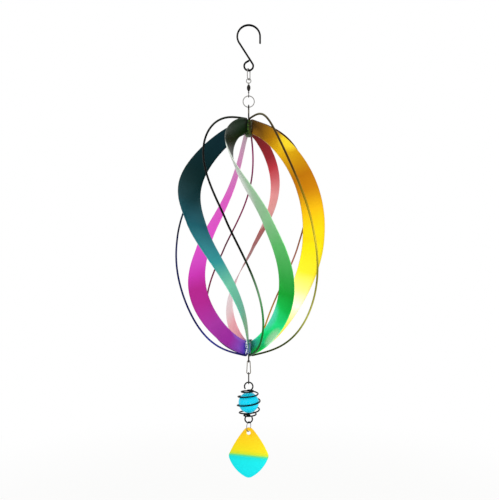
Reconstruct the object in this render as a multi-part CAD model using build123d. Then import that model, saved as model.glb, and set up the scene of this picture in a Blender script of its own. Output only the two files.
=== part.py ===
"""Hanging wind spinner: twisted crescent blades and bowed wires between two hubs.

The part hangs. Its origin is the hook's seat, the inner top of the hook's bend, +Z is up and
+X runs across the hook's bend. Azimuths are in degrees from +X towards the front (-Y).
Every piece of the hanging chain takes its height from the piece that it hangs on, so
LINK_GAP is the clearance between each link and the wire that carries it.
All lengths are in millimetres.
"""
import os
from math import acos, asin, cos, degrees, pi, radians, sin, sqrt

from build123d import *

# --- Clearances -------------------------------------------------------------------------
LINK_GAP = 0.3            # between a link and the wire that carries it, at rest
STEM_CLEARANCE = 0.08     # radial running fit of a swivel stem in the barrel's end
HEAD_PLAY = 0.15          # axial play of a stem's head under the barrel's end wall
SOCKET_FIT = 0.03         # radial gap of a wire or shank in its hub socket
MARBLE_PLAY = 0.5         # gap between the marble and its cage at mid-height

# --- Hook --------------------------------------------------------------------------------
HOOK_WIRE = 2.2           # diameter
HOOK_BEND_RADIUS = 13.9   # centreline of the open bend
HOOK_TIP_LENGTH = 8.9     # straight run below the bend's open side
HOOK_TIP_ROUND = 0.6
HOOK_EYE_RADIUS = 5.5     # centreline of the closed eye
HOOK_EYE_DROP = 36.0      # bend centre to eye centre
HOOK_CLOSING_ANGLE = 120.0    # where the eye's free end leaves the eye's circle
HOOK_CLOSING_GAP = 0.15   # free end to shank

# --- Connector link ----------------------------------------------------------------------
LINK_WIRE = 1.1
LINK_END_RADIUS = 2.8     # centreline of both round ends
LINK_LENGTH = 13.2        # centreline, top to bottom
LINK_YAW = 55.0           # plane of the link, turned from the hook's plane

# --- Barrel swivel -----------------------------------------------------------------------
SWIVEL_WIRE = 1.0
SWIVEL_EYE_RADIUS = 2.8   # centreline
SWIVEL_STEM = 1.3         # stem diameter
SWIVEL_NECK = 1.75        # eye's outer edge to the barrel's end
SWIVEL_HEAD = 2.5         # head diameter
SWIVEL_HEAD_THICKNESS = 0.8
BARREL_LENGTH = 6.8
BARREL_DIAMETER = 4.4
BARREL_END_DIAMETER = 2.7
BARREL_BAND = 2.4         # straight band at mid-length
BARREL_END_WALL = 0.9
BARREL_CAVITY = 3.0       # diameter

# --- Split ring --------------------------------------------------------------------------
RING_WIRE = 1.1
RING_RADIUS = 6.85        # centreline

# --- Spinner -----------------------------------------------------------------------------
HUB_FACE_RISE = 141.3     # mid-height to each hub's outer face
HUB_LENGTH = 17.3
HUB_DIAMETER = 8.4
HUB_EDGE = 0.5            # chamfer of the hub's rims
EYE_WIRE = 1.8            # both spinner eyes and their shanks
EYE_SHANK_GRIP = 14.0     # shank length inside the hub
TOP_EYE_RADIUS = 3.0      # centreline of the loop's round ends
TOP_EYE_LENGTH = 12.4     # centreline, top to bottom of the loop
BOTTOM_EYE_RADIUS = 2.6
EYE_TO_WIRES = 1.0        # least gap between an eye's loop and the bowed wires' bends
TOP_EYE_TO_WIRES = 3.0

BLADE_THICKNESS = 0.8
BLADE_OUTER_REACH = 96.8  # axis to the blade's outer edge at mid-height
BLADE_INNER_REACH = 68.2  # axis to the blade's inner edge at mid-height
BLADE_PEAK = 2.2          # outer edge's peak on the axis, beyond the hub's outer face
BLADE_ROOT = 3.0          # inner edge's peak on the axis, beyond the hub's inner face
BLADE_OUTER_BELLY = 1.32  # exponents: higher ones give a more pointed edge
BLADE_INNER_BELLY = 1.40
BLADE_EASE = 1.1          # exponent of the twist's easing towards the hubs
TAB_WIDTH = 2.4           # bent tab on the hub's surface
TAB_MARGIN = 1.2          # blade's end beyond the tab, above and below
BLADE_SECTIONS = 25

BOW_WIRE = 2.0
BOW_REACH = 88.4          # axis to the wire at mid-height
BOW_BELLY = 0.69          # exponent: a lower one fills out the bow's shoulders
BOW_SHOULDER = 0.94       # exponent: a lower one flattens the bow's top
BOW_HUB_LIFT = 6.1        # the wire's ends above the bow's shoulders
BOW_LIFT_POWER = 150      # exponent: a higher one keeps the lift nearer the hub
BOW_TWIST_ANGLE = 30.6    # from mid-height to either hub
BOW_CIRCLE = 2.35         # radius of the socket circle in the hub
BOW_BEND = 2.3            # centreline radius of the bend at the hub's face
BOW_GRIP = 12.0           # wire length inside the hub
BOW_SPANS = 12
BOW_CROWDING = 0.09       # draws the spans towards the hubs

# Hand-set blades: azimuth at mid-height, twist from there to either hub, and skew, which
# adds to the upper twist and takes from the lower one.
BLADES = {
    "blade_yellow": (-9.6, 18.5, 0.0),
    "blade_green": (76.7, 38.5, 4.5),
    "blade_teal": (131.2, 42.0, 2.0),
    "blade_magenta": (221.6, 33.6, -0.5),
    "blade_red": (273.3, 39.4, 3.0),
}
# Azimuth of each bowed wire at mid-height.
BOWS = {
    "wire_gold": 38.3,
    "wire_green": 104.8,
    "wire_navy": 183.2,
    "wire_plum": 246.1,
    "wire_copper": 319.7,
}

# --- Lower chain -------------------------------------------------------------------------
PEAR_WIRE = 1.0
PEAR_BOTTOM_RADIUS = 2.3  # centreline
PEAR_LENGTH = 16.4        # centreline, top to bottom
DARK_WIRE = 1.5
DARK_LENGTH = 13.3        # centreline, top to bottom

# --- Marble and cage ---------------------------------------------------------------------
MARBLE_DIAMETER = 25.0
CAGE_WIRE = 1.5
CAGE_TOP_LOOP_RADIUS = 5.1
CAGE_BOTTOM_LOOP_RADIUS = 4.5
CAGE_HALF_HEIGHT = 15.2   # centreline of the spiral, above and below its centre
CAGE_TURNS = 5.5
CAGE_FULLNESS = 0.7       # exponent: a lower one widens the first and last turns
CAGE_GATHER = 0.3         # draws the turns from mid-height towards both ends
CAGE_LOOP_GAP = 0.35      # each loop's free end to the spiral
CAGE_SPANS_PER_TURN = 6
CAGE_CROWDING = 0.1       # draws the spans towards the spiral's ends
MARBLE_LIFT = 0.6         # marble's centre above the cage's centre

# --- Pendant -----------------------------------------------------------------------------
JUMP_WIRE = 0.9
JUMP_RADIUS = 6.0         # centreline
JUMP_YAW = 65.0
PENDANT_WIDTH = 48.4
PENDANT_UPPER = 34.6      # top edge to the widest line
PENDANT_LOWER = 26.6      # widest line to the bottom edge
PENDANT_THICKNESS = 1.0
PENDANT_TOP_RADIUS = 7.0
PENDANT_SIDE_RADIUS = 7.5
PENDANT_BOTTOM_RADIUS = 8.0
PENDANT_UPPER_ARC = 128.0     # radius of the bowed upper sides
PENDANT_LOWER_ARC = 43.0      # radius of the bowed lower sides
PENDANT_HOLE = 4.9
PENDANT_HOLE_DROP = 6.6   # top edge to the hole's centre
PENDANT_EDGE = 0.2

# --- Spinner, worked out from the hubs ---------------------------------------------------
HUB_RADIUS = HUB_DIAMETER / 2
HUB_INNER_RISE = HUB_FACE_RISE - HUB_LENGTH
BLADE_OUTER_RISE = HUB_FACE_RISE + BLADE_PEAK
BLADE_INNER_RISE = HUB_INNER_RISE + BLADE_ROOT
BOW_RISE = HUB_FACE_RISE + BOW_BEND

# --- Heights, worked out down the chain --------------------------------------------------
HOOK_BEND_Z = -(HOOK_BEND_RADIUS - HOOK_WIRE / 2)
HOOK_EYE_Z = HOOK_BEND_Z - HOOK_EYE_DROP
HOOK_CARRY_Z = HOOK_EYE_Z - HOOK_EYE_RADIUS


def hung_top(carry_z, carrier_wire, hung_wire):
    """Centreline height of a link's top, hung on a wire centred at carry_z."""
    return carry_z + carrier_wire / 2 + LINK_GAP + hung_wire / 2


LINK_TOP_Z = hung_top(HOOK_CARRY_Z, HOOK_WIRE, LINK_WIRE)
LINK_CARRY_Z = LINK_TOP_Z - LINK_LENGTH
SWIVEL_TOP_Z = hung_top(LINK_CARRY_Z, LINK_WIRE, SWIVEL_WIRE)
TOP_SWIVEL_EYE_Z = SWIVEL_TOP_Z - SWIVEL_EYE_RADIUS
BARREL_TOP_Z = TOP_SWIVEL_EYE_Z - SWIVEL_EYE_RADIUS - SWIVEL_WIRE / 2 - SWIVEL_NECK
BARREL_BOTTOM_Z = BARREL_TOP_Z - BARREL_LENGTH
LOW_SWIVEL_EYE_Z = BARREL_BOTTOM_Z - SWIVEL_NECK - SWIVEL_WIRE / 2 - SWIVEL_EYE_RADIUS
SWIVEL_CARRY_Z = LOW_SWIVEL_EYE_Z - SWIVEL_EYE_RADIUS
RING_TOP_Z = hung_top(SWIVEL_CARRY_Z, SWIVEL_WIRE, RING_WIRE)
RING_Z = RING_TOP_Z - RING_RADIUS
RING_CARRY_Z = RING_Z - RING_RADIUS
TOP_EYE_Z = hung_top(RING_CARRY_Z, RING_WIRE, EYE_WIRE)
BOW_TOP_Z = TOP_EYE_Z - TOP_EYE_LENGTH - EYE_WIRE / 2 - TOP_EYE_TO_WIRES - BOW_WIRE / 2
MID_Z = BOW_TOP_Z - BOW_RISE
BOTTOM_EYE_Z = MID_Z - BOW_RISE - BOW_WIRE / 2 - EYE_TO_WIRES - EYE_WIRE / 2 - BOTTOM_EYE_RADIUS
BOTTOM_CARRY_Z = BOTTOM_EYE_Z - BOTTOM_EYE_RADIUS
PEAR_TOP_Z = hung_top(BOTTOM_CARRY_Z, EYE_WIRE, PEAR_WIRE)
PEAR_CARRY_Z = PEAR_TOP_Z - PEAR_LENGTH
DARK_TOP_Z = hung_top(PEAR_CARRY_Z, PEAR_WIRE, DARK_WIRE)
DARK_CARRY_Z = DARK_TOP_Z - DARK_LENGTH
CAGE_LOOP_TOP_Z = hung_top(DARK_CARRY_Z, DARK_WIRE, CAGE_WIRE)
CAGE_SPIRAL_TOP_Z = CAGE_LOOP_TOP_Z - 2 * CAGE_TOP_LOOP_RADIUS
CAGE_Z = CAGE_SPIRAL_TOP_Z - CAGE_HALF_HEIGHT
CAGE_SPIRAL_BOTTOM_Z = CAGE_Z - CAGE_HALF_HEIGHT
CAGE_CARRY_Z = CAGE_SPIRAL_BOTTOM_Z - 2 * CAGE_BOTTOM_LOOP_RADIUS
JUMP_TOP_Z = hung_top(CAGE_CARRY_Z, CAGE_WIRE, JUMP_WIRE)
JUMP_Z = JUMP_TOP_Z - JUMP_RADIUS
JUMP_CARRY_Z = JUMP_Z - JUMP_RADIUS
PENDANT_HOLE_Z = JUMP_CARRY_Z + JUMP_WIRE / 2 + LINK_GAP - PENDANT_HOLE / 2
PENDANT_TOP_Z = PENDANT_HOLE_Z + PENDANT_HOLE_DROP

CAGE_SPIRAL_RADIUS = MARBLE_DIAMETER / 2 + CAGE_WIRE / 2 + MARBLE_PLAY


def at(radius, azimuth, z):
    """A point from cylindrical coordinates about the spinner's axis."""
    return Vector(radius * cos(radians(azimuth)), -radius * sin(radians(azimuth)), z)


def signed_power(value, exponent):
    return (1 if value >= 0 else -1) * abs(value) ** exponent


def in_plane(yaw):
    """Upright plane through the axis, turned by yaw from the XZ plane; local y is up."""
    along = (cos(radians(yaw)), sin(radians(yaw)), 0)
    normal = (sin(radians(yaw)), -cos(radians(yaw)), 0)
    return Plane((0, 0, 0), x_dir=along, z_dir=normal)


def swept_wire(path, diameter):
    """A round wire along a path, from the path's start."""
    start = Plane(origin=path @ 0, z_dir=path % 0)
    return sweep(start * Circle(diameter / 2), path=path)


def tangent_arcs(start, start_direction, end, end_direction):
    """Two arcs that meet smoothly and leave start and reach end in the given directions."""
    chord = end - start
    spread = 2 * (1 - start_direction.dot(end_direction))
    pull = chord.dot(start_direction + end_direction)
    reach = chord.dot(chord) / (sqrt(pull * pull + spread * chord.dot(chord)) + pull)
    first = start + start_direction * reach
    last = end - end_direction * reach
    middle = (first + last) * 0.5
    middle_direction = (last - first).normalized()
    return [
        Edge.make_tangent_arc(start, start_direction, middle),
        Edge.make_tangent_arc(middle, middle_direction, end),
    ]


def bent_path(point_at, shares, start_direction, end_direction):
    """A smooth chain of arcs through point_at of each share, as a wire bender makes it."""
    step = 1e-4
    points = [point_at(share) for share in shares]
    inner = [point_at(share + step) - point_at(share - step) for share in shares[1:-1]]
    directions = [start_direction] + [gap.normalized() for gap in inner] + [end_direction]
    edges = []
    for i in range(len(points) - 1):
        edges += tangent_arcs(points[i], directions[i], points[i + 1], directions[i + 1])
    return edges


# --- Bent wire ---------------------------------------------------------------------------
def torus_ring(radius, wire, z, yaw=0.0):
    """A closed round ring that stands upright, its centre on the axis at z."""
    normal = (sin(radians(yaw)), -cos(radians(yaw)), 0)
    return Plane(origin=(0, 0, z), z_dir=normal) * Torus(radius, wire / 2)


def loop_link(top_z, bottom_z, top_radius, bottom_radius, wire, yaw=0.0):
    """A closed link: two round ends on one upright line, joined by their tangents."""
    plane = in_plane(yaw)
    top = (0, top_z - top_radius)
    bottom = (0, bottom_z + bottom_radius)
    lean = degrees(asin((bottom_radius - top_radius) / (top[1] - bottom[1])))

    def rim(centre, radius, angle):
        return plane.from_local_coords(
            (centre[0] + radius * cos(radians(angle)), centre[1] + radius * sin(radians(angle)), 0)
        )

    top_right, top_left = rim(top, top_radius, lean), rim(top, top_radius, 180 - lean)
    low_right, low_left = rim(bottom, bottom_radius, lean), rim(bottom, bottom_radius, 180 - lean)
    path = Wire(
        [
            Edge.make_line(low_right, top_right),
            Edge.make_three_point_arc(top_right, rim(top, top_radius, 90), top_left),
            Edge.make_line(top_left, low_left),
            Edge.make_three_point_arc(low_left, rim(bottom, bottom_radius, -90), low_right),
        ]
    )
    return swept_wire(path, wire)


def s_hook():
    """Open bend, straight shank and closed eye, from one wire in the XZ plane."""
    lean = degrees(asin((HOOK_BEND_RADIUS + HOOK_EYE_RADIUS) / HOOK_EYE_DROP))

    def on_bend(angle):
        x = HOOK_BEND_RADIUS * cos(radians(angle))
        return Vector(x, 0, HOOK_BEND_Z + HOOK_BEND_RADIUS * sin(radians(angle)))

    def on_eye(angle):
        x = HOOK_EYE_RADIUS * cos(radians(angle))
        return Vector(x, 0, HOOK_EYE_Z + HOOK_EYE_RADIUS * sin(radians(angle)))

    closing = radians(HOOK_CLOSING_ANGLE - lean)
    reach = HOOK_EYE_RADIUS * (1 - cos(closing)) - HOOK_WIRE / 2 - HOOK_CLOSING_GAP
    run = reach / sin(closing)
    run_direction = Vector(sin(radians(HOOK_CLOSING_ANGLE)), 0, -cos(radians(HOOK_CLOSING_ANGLE)))
    tip = on_bend(0) - Vector(0, 0, HOOK_TIP_LENGTH)
    eye_end = on_eye(HOOK_CLOSING_ANGLE)
    path = Wire(
        [
            Edge.make_line(tip, on_bend(0)),
            Edge.make_three_point_arc(on_bend(0), on_bend(90 + lean / 2), on_bend(180 + lean)),
            Edge.make_line(on_bend(180 + lean), on_eye(lean)),
            Edge.make_three_point_arc(
                on_eye(lean), on_eye((lean + HOOK_CLOSING_ANGLE) / 2 - 180), eye_end
            ),
            Edge.make_line(eye_end, eye_end + run_direction * run),
        ]
    )
    hook = swept_wire(path, HOOK_WIRE)
    tip_rim = hook.faces().sort_by_distance(tip)[0].edges()
    return fillet(tip_rim, HOOK_TIP_ROUND)


def connector_link():
    return loop_link(LINK_TOP_Z, LINK_CARRY_Z, LINK_END_RADIUS, LINK_END_RADIUS, LINK_WIRE, LINK_YAW)


def split_ring():
    return torus_ring(RING_RADIUS, RING_WIRE, RING_Z)


def jump_ring():
    return torus_ring(JUMP_RADIUS, JUMP_WIRE, JUMP_Z, JUMP_YAW)


def pear_link():
    top_radius = EYE_WIRE / 2 + LINK_GAP + PEAR_WIRE / 2
    return loop_link(PEAR_TOP_Z, PEAR_CARRY_Z, top_radius, PEAR_BOTTOM_RADIUS, PEAR_WIRE)


def dark_link():
    top_radius = PEAR_WIRE / 2 + LINK_GAP + DARK_WIRE / 2
    bottom_radius = CAGE_WIRE / 2 + LINK_GAP + DARK_WIRE / 2
    return loop_link(DARK_TOP_Z, DARK_CARRY_Z, top_radius, bottom_radius, DARK_WIRE, yaw=90)


# --- Barrel swivel -----------------------------------------------------------------------
def swivel_eye(eye_z, barrel_end_z, inwards, yaw):
    """Round eye with a stem through the barrel's end and a head inside it."""
    head_face = barrel_end_z + inwards * (BARREL_END_WALL + HEAD_PLAY)
    head_middle = head_face + inwards * SWIVEL_HEAD_THICKNESS / 2
    stem_start = eye_z + inwards * SWIVEL_EYE_RADIUS
    stem_middle = (stem_start + head_middle) / 2
    stem = Pos(0, 0, stem_middle) * Cylinder(SWIVEL_STEM / 2, abs(head_middle - stem_start))
    head = Pos(0, 0, head_middle) * Cylinder(SWIVEL_HEAD / 2, SWIVEL_HEAD_THICKNESS)
    return torus_ring(SWIVEL_EYE_RADIUS, SWIVEL_WIRE, eye_z, yaw) + stem + head


def swivel_top_eye():
    return swivel_eye(TOP_SWIVEL_EYE_Z, BARREL_TOP_Z, inwards=-1, yaw=0)


def swivel_bottom_eye():
    return swivel_eye(LOW_SWIVEL_EYE_Z, BARREL_BOTTOM_Z, inwards=1, yaw=90)


def swivel_barrel():
    """Turned barrel: tapered to both ends, hollow, with a running hole for each stem."""
    half = BARREL_LENGTH / 2
    profile = Polyline(
        (0, -half),
        (BARREL_END_DIAMETER / 2, -half),
        (BARREL_DIAMETER / 2, -BARREL_BAND / 2),
        (BARREL_DIAMETER / 2, BARREL_BAND / 2),
        (BARREL_END_DIAMETER / 2, half),
        (0, half),
        close=True,
    )
    middle_z = (BARREL_TOP_Z + BARREL_BOTTOM_Z) / 2
    body = Pos(0, 0, middle_z) * revolve(Plane.XZ * make_face(profile), Axis.Z)
    cavity = Cylinder(BARREL_CAVITY / 2, BARREL_LENGTH - 2 * BARREL_END_WALL)
    stem_hole = Cylinder(SWIVEL_STEM / 2 + STEM_CLEARANCE, BARREL_LENGTH)
    return body - Pos(0, 0, middle_z) * (cavity + stem_hole)


# --- Hubs and their eyes -----------------------------------------------------------------
def hub(side):
    """Round hub with a socket for each bowed wire and one for the eye's shank."""
    outer_face = MID_Z + side * HUB_FACE_RISE
    inner_face = MID_Z + side * HUB_INNER_RISE
    length = abs(outer_face - inner_face)
    body = Pos(0, 0, (outer_face + inner_face) / 2) * Cylinder(HUB_RADIUS, length)
    body = chamfer(body.edges().filter_by(GeomType.CIRCLE), HUB_EDGE)
    grip = EYE_SHANK_GRIP + SOCKET_FIT
    bore = Pos(0, 0, outer_face - side * grip / 2) * Cylinder(EYE_WIRE / 2 + SOCKET_FIT, grip)
    body -= bore
    depth = BOW_GRIP + SOCKET_FIT
    for azimuth in BOWS.values():
        centre = at(BOW_CIRCLE, azimuth + side * BOW_TWIST_ANGLE, outer_face - side * depth / 2)
        body -= Pos(*centre) * Cylinder(BOW_WIRE / 2 + SOCKET_FIT, depth)
    return body


def eye_with_shank(loop, loop_end_z, side):
    """A loop with its shank running from the loop's foot into the hub's bore."""
    shank_end = MID_Z + side * (HUB_FACE_RISE - EYE_SHANK_GRIP)
    shank_middle = (loop_end_z + shank_end) / 2
    shank = Pos(0, 0, shank_middle) * Cylinder(EYE_WIRE / 2, abs(loop_end_z - shank_end))
    return loop + shank


def top_eye():
    foot_z = TOP_EYE_Z - TOP_EYE_LENGTH
    loop = loop_link(TOP_EYE_Z, foot_z, TOP_EYE_RADIUS, TOP_EYE_RADIUS, EYE_WIRE, yaw=90)
    return eye_with_shank(loop, foot_z, side=1)


def bottom_eye():
    loop = torus_ring(BOTTOM_EYE_RADIUS, EYE_WIRE, BOTTOM_EYE_Z, yaw=90)
    return eye_with_shank(loop, BOTTOM_EYE_Z + BOTTOM_EYE_RADIUS, side=-1)


# --- Blades ------------------------------------------------------------------------------
def blade_edges(azimuth, twist, skew, theta):
    """Outer and inner edge of a blade at the angle theta, from 0 at the top to pi."""
    turned = sin(pi / 2 * signed_power(cos(theta), BLADE_EASE))
    turn = azimuth + twist * turned + skew * turned**2
    outer_radius = BLADE_OUTER_REACH * sin(theta) ** BLADE_OUTER_BELLY
    inner_radius = BLADE_INNER_REACH * sin(theta) ** BLADE_INNER_BELLY
    outer = at(outer_radius, turn, MID_Z + BLADE_OUTER_RISE * cos(theta))
    inner = at(inner_radius, turn, MID_Z + BLADE_INNER_RISE * cos(theta))
    return outer, inner


def blade_middle(setting, theta):
    outer, inner = blade_edges(*setting, theta)
    return (outer + inner) * 0.5


def blade_section(setting, theta):
    """The blade's thin rectangle across its width at theta."""
    outer, inner = blade_edges(*setting, theta)
    across = (outer - inner).normalized()
    step = 0.001
    along = blade_middle(setting, theta + step) - blade_middle(setting, theta - step)
    along = (along - across * along.dot(across)).normalized()
    plane = Plane(origin=(outer + inner) * 0.5, x_dir=across, z_dir=along)
    return plane * Rectangle((outer - inner).length, BLADE_THICKNESS)


def blade_tab(azimuth, side):
    """The blade's end, bent round the hub's surface."""
    inner_rise = BLADE_INNER_RISE + TAB_MARGIN
    outer_rise = min(BLADE_OUTER_RISE - TAB_MARGIN, HUB_FACE_RISE) - HUB_EDGE
    height = outer_rise - inner_rise
    span = degrees(TAB_WIDTH / HUB_RADIUS)
    sector = Plane.XZ * Pos(HUB_RADIUS + BLADE_THICKNESS / 2, 0) * Rectangle(BLADE_THICKNESS, height)
    tab = revolve(sector, Axis.Z, span)
    start = -azimuth - span if side > 0 else -azimuth
    return Pos(0, 0, MID_Z + side * (outer_rise + inner_rise) / 2) * Rot(0, 0, start) * tab


def blade(azimuth, twist, skew):
    """A crescent of flat sheet, twisted about the axis, with a bent tab at each hub."""
    start = (HUB_RADIUS / 2 / BLADE_OUTER_REACH) ** (1 / BLADE_OUTER_BELLY)
    span = pi - 2 * start
    angles = [start + span * i / (BLADE_SECTIONS - 1) for i in range(BLADE_SECTIONS)]
    fin = loft([blade_section((azimuth, twist, skew), theta) for theta in angles])
    fin -= Pos(0, 0, MID_Z) * Cylinder(HUB_RADIUS, 2 * BLADE_OUTER_RISE + 2 * HUB_RADIUS)
    upper_tab = blade_tab(azimuth + twist + skew, side=1)
    lower_tab = blade_tab(azimuth - twist + skew, side=-1)
    return fin + upper_tab + lower_tab


# --- Bowed wires -------------------------------------------------------------------------
def bow_point(azimuth, share):
    """A point of the bow; share runs from 0 at the upper hub's bend to 1 at the lower one."""
    start = ((BOW_CIRCLE + BOW_BEND) / BOW_REACH) ** (1 / BOW_BELLY)
    theta = start + (pi - 2 * start) * share
    turn = azimuth + BOW_TWIST_ANGLE * sin(pi / 2 * cos(theta))
    rise = (BOW_RISE - BOW_HUB_LIFT) * signed_power(cos(theta), BOW_SHOULDER)
    rise += BOW_HUB_LIFT * signed_power(cos(theta), BOW_LIFT_POWER)
    return at(BOW_REACH * sin(theta) ** BOW_BELLY, turn, MID_Z + rise)


def hub_bend(azimuth, side):
    """The wire's straight grip in the hub and its bend outwards, from the grip's end."""
    seat = at(BOW_CIRCLE, azimuth, MID_Z + side * (HUB_FACE_RISE - BOW_GRIP))
    bend = at(BOW_CIRCLE, azimuth, MID_Z + side * (BOW_RISE - BOW_BEND))
    leave = at(BOW_CIRCLE + BOW_BEND, azimuth, MID_Z + side * BOW_RISE)
    return seat, bend, leave


def bow(azimuth):
    """A wire that leaves one hub's face, bends outwards and bows round to the other."""
    top_seat, top_bend, top_leave = hub_bend(azimuth + BOW_TWIST_ANGLE, side=1)
    low_seat, low_bend, low_leave = hub_bend(azimuth - BOW_TWIST_ANGLE, side=-1)
    upright = Vector(0, 0, 1)
    outwards = at(1, azimuth + BOW_TWIST_ANGLE, 0)
    inwards = at(-1, azimuth - BOW_TWIST_ANGLE, 0)

    def point_at(share):
        return top_leave if share <= 0 else low_leave if share >= 1 else bow_point(azimuth, share)

    shares = [i / BOW_SPANS - BOW_CROWDING * sin(2 * pi * i / BOW_SPANS) for i in range(BOW_SPANS + 1)]
    path = Wire(
        [
            Edge.make_line(top_seat, top_bend),
            Edge.make_tangent_arc(top_bend, upright, top_leave),
            *bent_path(point_at, shares, outwards, inwards),
            Edge.make_tangent_arc(low_leave, inwards, low_bend),
            Edge.make_line(low_bend, low_seat),
        ]
    )
    return swept_wire(path, BOW_WIRE)


# --- Marble and cage ---------------------------------------------------------------------
def cage_point(share):
    """A point of the spiral; share runs from 0 at the top to 1 at the bottom."""
    swell = CAGE_SPIRAL_RADIUS * max(sin(pi * share), 0.0) ** CAGE_FULLNESS
    gathered = share - CAGE_GATHER * sin(2 * pi * share) / (2 * pi)
    return at(swell, 180 + 360 * CAGE_TURNS * share, CAGE_Z + CAGE_HALF_HEIGHT * cos(pi * gathered))


def cage_loop(radius, centre_z, side):
    """Open loop in the XZ plane between its free end and the spiral's end at the axis."""
    opening = degrees(acos(1 - (CAGE_WIRE + CAGE_LOOP_GAP) / radius))

    def rim(angle):
        return Vector(-radius * sin(radians(angle)), 0, centre_z - side * radius * cos(radians(angle)))

    if side > 0:
        return Edge.make_three_point_arc(rim(opening), rim(180 + opening / 2), rim(360))
    return Edge.make_three_point_arc(rim(0), rim(180 - opening / 2), rim(360 - opening))


def marble_cage():
    """One wire: top loop, spiral that swells round the marble, bottom loop."""
    count = round(CAGE_TURNS * CAGE_SPANS_PER_TURN)
    shares = [i / count - CAGE_CROWDING * sin(2 * pi * i / count) for i in range(count + 1)]
    leftwards = Vector(-1, 0, 0)
    path = Wire(
        [
            cage_loop(CAGE_TOP_LOOP_RADIUS, CAGE_SPIRAL_TOP_Z + CAGE_TOP_LOOP_RADIUS, side=1),
            *bent_path(cage_point, shares, leftwards, leftwards),
            cage_loop(CAGE_BOTTOM_LOOP_RADIUS, CAGE_SPIRAL_BOTTOM_Z - CAGE_BOTTOM_LOOP_RADIUS, side=-1),
        ]
    )
    return swept_wire(path, CAGE_WIRE)


def marble():
    return Pos(0, 0, CAGE_Z + MARBLE_LIFT) * Sphere(MARBLE_DIAMETER / 2)


# --- Pendant -----------------------------------------------------------------------------
def side_arc(first, first_radius, second, second_radius, arc_radius):
    """Ends and middle of the arc that touches two corner circles from outside."""
    gap = second - first
    a, b = arc_radius - first_radius, arc_radius - second_radius
    along = (a * a - b * b + gap.length**2) / (2 * gap.length)
    aside = sqrt(a * a - along * along)
    unit = gap.normalized()
    centre = first + unit * along + Vector(-unit.Y, unit.X) * aside
    start = centre + (first - centre).normalized() * arc_radius
    end = centre + (second - centre).normalized() * arc_radius
    middle = centre + (((start + end) * 0.5) - centre).normalized() * arc_radius
    return start, middle, end


def pendant_outline():
    """Kite of eight tangent arcs, its top edge at the origin and its length along -Y."""
    half = PENDANT_WIDTH / 2 - PENDANT_SIDE_RADIUS
    corners = [
        (Vector(0, -PENDANT_TOP_RADIUS), PENDANT_TOP_RADIUS, Vector(0, 0)),
        (Vector(-half, -PENDANT_UPPER), PENDANT_SIDE_RADIUS, Vector(-PENDANT_WIDTH / 2, -PENDANT_UPPER)),
        (
            Vector(0, -PENDANT_UPPER - PENDANT_LOWER + PENDANT_BOTTOM_RADIUS),
            PENDANT_BOTTOM_RADIUS,
            Vector(0, -PENDANT_UPPER - PENDANT_LOWER),
        ),
        (Vector(half, -PENDANT_UPPER), PENDANT_SIDE_RADIUS, Vector(PENDANT_WIDTH / 2, -PENDANT_UPPER)),
    ]
    bows = [PENDANT_UPPER_ARC, PENDANT_LOWER_ARC, PENDANT_LOWER_ARC, PENDANT_UPPER_ARC]
    sides = []
    for i in range(4):
        first, second = corners[i], corners[(i + 1) % 4]
        sides.append(side_arc(first[0], first[1], second[0], second[1], bows[i]))
    edges = []
    for i in range(4):
        before, after = sides[i - 1], sides[i]
        edges.append(Edge.make_three_point_arc(before[2], corners[i][2], after[0]))
        edges.append(Edge.make_three_point_arc(*after))
    return make_face(edges)


def pendant():
    """Flat plate in the XZ plane with its hanging hole."""
    face = pendant_outline() - Pos(0, -PENDANT_HOLE_DROP) * Circle(PENDANT_HOLE / 2)
    plate = extrude(Plane.XZ * face, PENDANT_THICKNESS / 2, both=True)
    plate = chamfer(plate.faces().filter_by(Axis.Y).edges(), PENDANT_EDGE)
    return Pos(0, 0, PENDANT_TOP_Z) * plate


# --- Assembly ----------------------------------------------------------------------------
def all_nodes():
    nodes = {
        "s_hook": s_hook(),
        "connector_link": connector_link(),
        "swivel_top_eye": swivel_top_eye(),
        "swivel_barrel": swivel_barrel(),
        "swivel_bottom_eye": swivel_bottom_eye(),
        "split_ring": split_ring(),
        "top_eye": top_eye(),
        "top_hub": hub(side=1),
        "bottom_hub": hub(side=-1),
        "bottom_eye": bottom_eye(),
        "pear_link": pear_link(),
        "dark_link": dark_link(),
        "marble_cage": marble_cage(),
        "marble": marble(),
        "jump_ring": jump_ring(),
        "pendant": pendant(),
    }
    for name, setting in BLADES.items():
        nodes[name] = blade(*setting)
    for name, azimuth in BOWS.items():
        nodes[name] = bow(azimuth)
    return nodes


def main():
    os.makedirs("parts", exist_ok=True)
    for name, shape in all_nodes().items():
        export_step(shape, f"parts/{name}.step")


if __name__ == "__main__":
    main()
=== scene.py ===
"""Dresses a packed hanging wind spinner: twisted blades, bowed wires, chain, caged marble, pendant.

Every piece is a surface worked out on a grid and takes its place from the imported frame.
Lengths are in metres, +Z is up, and the front is towards -Y.
"""
from math import acos, asin, cos, degrees, pi, radians, sin, sqrt

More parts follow.
